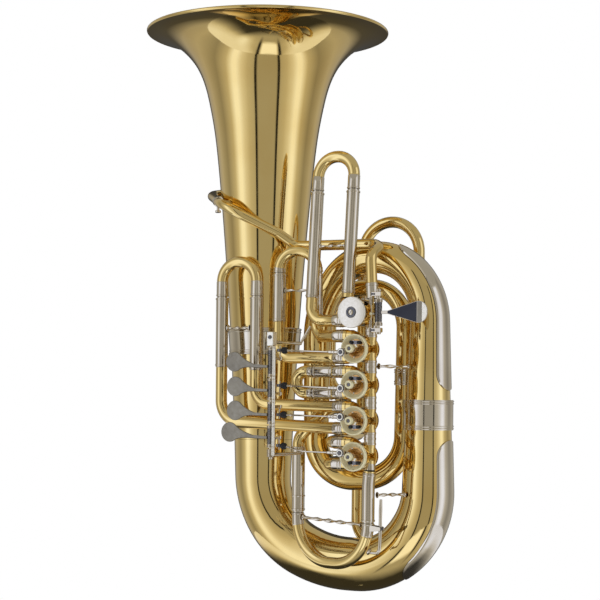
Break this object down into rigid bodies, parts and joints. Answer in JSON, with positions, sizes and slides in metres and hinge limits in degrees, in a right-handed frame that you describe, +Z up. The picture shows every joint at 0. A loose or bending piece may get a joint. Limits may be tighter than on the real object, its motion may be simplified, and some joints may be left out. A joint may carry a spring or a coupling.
{
  "type": "tuba",
  "caption": "Upright rotary-valve tuba with a wide bell, bent conical tubing, finger paddles, a thumb lever and pull-out tuning slides.",
  "frame": {"origin": "middle of the bottom of the whole object's bounding box, under the bottom bow", "axes": "+Z up along the bell, +Y toward the player at the back, +X from the bell toward the outer branch; the rotor caps face -Y"},
  "size_m": [0.5328, 0.3908, 0.8929],
  "materials": {
    "brass_lacquer": "clear-lacquered mirror polish",
    "nickel_silver": "polished nickel silver",
    "satin_nickel": "satin nickel silver"
  },
  "bodies": {
    "tuba_body": {"bell": "brass_lacquer", "bottom_bow": "brass_lacquer", "top_bow": "brass_lacquer", "return_bow": "brass_lacquer", "inner_loop": "brass_lacquer", "leadpipe": "brass_lacquer", "valve_1_casing": "brass_lacquer", "valve_2_casing": "brass_lacquer", "valve_3_casing": "brass_lacquer", "valve_4_casing": "brass_lacquer", "valve_5_casing": "brass_lacquer", "bell_ferrule": "nickel_silver", "branch_ferrule": "nickel_silver", "inner_ferrule": "nickel_silver", "guard_upper": "nickel_silver", "guard_lower": "nickel_silver", "mouthpiece_receiver": "nickel_silver", "paddle_rail": "nickel_silver", "thumb_bracket": "nickel_silver", "slide_1_leg_lower": "nickel_silver", "slide_1_leg_upper": "nickel_silver", "slide_2_leg_upper": "nickel_silver", "slide_2_leg_lower": "nickel_silver", "slide_3_leg_lower": "nickel_silver", "slide_3_leg_upper": "nickel_silver", "slide_4_leg_upper": "nickel_silver", "slide_4_leg_lower": "nickel_silver", "slide_5_leg_left": "nickel_silver", "slide_5_leg_right": "nickel_silver", "main_slide_leg": "nickel_silver", "valve_link_1": "nickel_silver", "valve_link_2": "nickel_silver", "valve_link_3": "nickel_silver", "valve_link_5": "nickel_silver", "brace_third_slide": "nickel_silver", "brace_first_slide": "nickel_silver", "brace_valve_upper": "nickel_silver", "brace_valve_lower": "nickel_silver"},
    "paddle_1_body": {"paddle_1": "satin_nickel"},
    "rotor_1_body": {"rotor_1": "nickel_silver"},
    "rod_1_body": {"link_rod_1": "nickel_silver"},
    "paddle_2_body": {"paddle_2": "satin_nickel"},
    "rotor_2_body": {"rotor_2": "nickel_silver"},
    "rod_2_body": {"link_rod_2": "nickel_silver"},
    "paddle_3_body": {"paddle_3": "satin_nickel"},
    "rotor_3_body": {"rotor_3": "nickel_silver"},
    "rod_3_body": {"link_rod_3": "nickel_silver"},
    "paddle_4_body": {"paddle_4": "satin_nickel"},
    "rotor_4_body": {"rotor_4": "nickel_silver"},
    "rod_4_body": {"link_rod_4": "nickel_silver"},
    "thumb_lever_body": {"thumb_lever": "satin_nickel"},
    "rotor_5_body": {"rotor_5": "nickel_silver"},
    "main_slide_body": {"main_slide_crook": "brass_lacquer", "brace_main_slide": "nickel_silver"},
    "slide_1_body": {"slide_1_crook": "brass_lacquer"},
    "slide_2_body": {"slide_2_crook": "brass_lacquer"},
    "slide_3_body": {"slide_3_crook": "brass_lacquer"},
    "slide_4_body": {"slide_4_crook": "brass_lacquer"},
    "slide_5_body": {"slide_5_crook": "brass_lacquer"},
    "water_key_body": {"water_key": "nickel_silver"}
  },
  "joints": [
    {"name": "paddle_1_hinge", "type": "hinge", "parent": "tuba_body", "child": "paddle_1_body", "pos_m": [0.03605, -0.155, 0.37101], "axis": [0, 0, -1], "range_deg": [0, 30.3], "stiffness_Nm_per_rad": 0.35, "springref_deg": -20.05},
    {"name": "rotor_1_turn", "type": "hinge", "parent": "tuba_body", "child": "rotor_1_body", "pos_m": [0.15005, -0.12, 0.3767], "axis": [0, -1, 0], "range_deg": [0, 90]},
    {"name": "link_rod_1_pivot", "type": "hinge", "parent": "rotor_1_body", "child": "rod_1_body", "pos_m": [0.13726, -0.12, 0.37101], "axis": [0, 1, 0], "range_deg": [0, 93.9]},
    {"name": "paddle_2_hinge", "type": "hinge", "parent": "tuba_body", "child": "paddle_2_body", "pos_m": [0.03605, -0.155, 0.31701], "axis": [0, 0, -1], "range_deg": [0, 30.3], "stiffness_Nm_per_rad": 0.35, "springref_deg": -20.05},
    {"name": "rotor_2_turn", "type": "hinge", "parent": "tuba_body", "child": "rotor_2_body", "pos_m": [0.15005, -0.12, 0.3227], "axis": [0, -1, 0], "range_deg": [0, 90]},
    {"name": "link_rod_2_pivot", "type": "hinge", "parent": "rotor_2_body", "child": "rod_2_body", "pos_m": [0.13726, -0.12, 0.31701], "axis": [0, 1, 0], "range_deg": [0, 93.9]},
    {"name": "paddle_3_hinge", "type": "hinge", "parent": "tuba_body", "child": "paddle_3_body", "pos_m": [0.03605, -0.155, 0.27439], "axis": [0, 0, -1], "range_deg": [0, 30.3], "stiffness_Nm_per_rad": 0.35, "springref_deg": -20.05},
    {"name": "rotor_3_turn", "type": "hinge", "parent": "tuba_body", "child": "rotor_3_body", "pos_m": [0.15005, -0.12, 0.2687], "axis": [0, 1, 0], "range_deg": [0, 90]},
    {"name": "link_rod_3_pivot", "type": "hinge", "parent": "rotor_3_body", "child": "rod_3_body", "pos_m": [0.13726, -0.12, 0.27439], "axis": [0, -1, 0], "range_deg": [0, 93.9]},
    {"name": "paddle_4_hinge", "type": "hinge", "parent": "tuba_body", "child": "paddle_4_body", "pos_m": [0.03605, -0.155, 0.22039], "axis": [0, 0, -1], "range_deg": [0, 30.3], "stiffness_Nm_per_rad": 0.35, "springref_deg": -20.05},
    {"name": "rotor_4_turn", "type": "hinge", "parent": "tuba_body", "child": "rotor_4_body", "pos_m": [0.15005, -0.12, 0.2147], "axis": [0, 1, 0], "range_deg": [0, 90]},
    {"name": "link_rod_4_pivot", "type": "hinge", "parent": "rotor_4_body", "child": "rod_4_body", "pos_m": [0.13726, -0.12, 0.22039], "axis": [0, -1, 0], "range_deg": [0, 93.9]},
    {"name": "thumb_lever_hinge", "type": "hinge", "parent": "tuba_body", "child": "thumb_lever_body", "pos_m": [0.18505, -0.096, 0.4309], "axis": [0, 0, 1], "range_deg": [0, 20], "stiffness_Nm_per_rad": 0.35, "springref_deg": -20.05},
    {"name": "rotor_5_turn", "type": "hinge", "parent": "tuba_body", "child": "rotor_5_body", "pos_m": [0.14805, -0.11, 0.4309], "axis": [0, 1, 0], "range_deg": [0, 90]},
    {"name": "main_slide_pull", "type": "slide", "parent": "tuba_body", "child": "main_slide_body", "axis": [0, 0, -1], "range_m": [0, 0.03]},
    {"name": "slide_1_pull", "type": "slide", "parent": "tuba_body", "child": "slide_1_body", "axis": [0, 0, 1], "range_m": [0, 0.028]},
    {"name": "slide_2_pull", "type": "slide", "parent": "tuba_body", "child": "slide_2_body", "axis": [-1, 0, 0], "range_m": [0, 0.028]},
    {"name": "slide_3_pull", "type": "slide", "parent": "tuba_body", "child": "slide_3_body", "axis": [0, 0, 1], "range_m": [0, 0.028]},
    {"name": "slide_4_pull", "type": "slide", "parent": "tuba_body", "child": "slide_4_body", "axis": [0, 0, 1], "range_m": [0, 0.028]},
    {"name": "slide_5_pull", "type": "slide", "parent": "tuba_body", "child": "slide_5_body", "axis": [0, 0.0847, 0.9964], "range_m": [0, 0.028]},
    {"name": "water_key_hinge", "type": "hinge", "parent": "main_slide_body", "child": "water_key_body", "pos_m": [0.18405, -0.08, 0.1069], "axis": [0, -1, 0], "range_deg": [0, 7], "stiffness_Nm_per_rad": 0.1, "springref_deg": -11.46}
  ],
  "couplings": [
    {"joint": "rotor_1_turn", "follows": "paddle_1_hinge", "ratio": 2.97},
    {"joint": "link_rod_1_pivot", "follows": "paddle_1_hinge", "ratio": 3.1},
    {"joint": "rotor_2_turn", "follows": "paddle_2_hinge", "ratio": 2.97},
    {"joint": "link_rod_2_pivot", "follows": "paddle_2_hinge", "ratio": 3.1},
    {"joint": "rotor_3_turn", "follows": "paddle_3_hinge", "ratio": 2.97},
    {"joint": "link_rod_3_pivot", "follows": "paddle_3_hinge", "ratio": 3.1},
    {"joint": "rotor_4_turn", "follows": "paddle_4_hinge", "ratio": 2.97},
    {"joint": "link_rod_4_pivot", "follows": "paddle_4_hinge", "ratio": 3.1},
    {"joint": "rotor_5_turn", "follows": "thumb_lever_hinge", "ratio": 4.5}
  ]
}
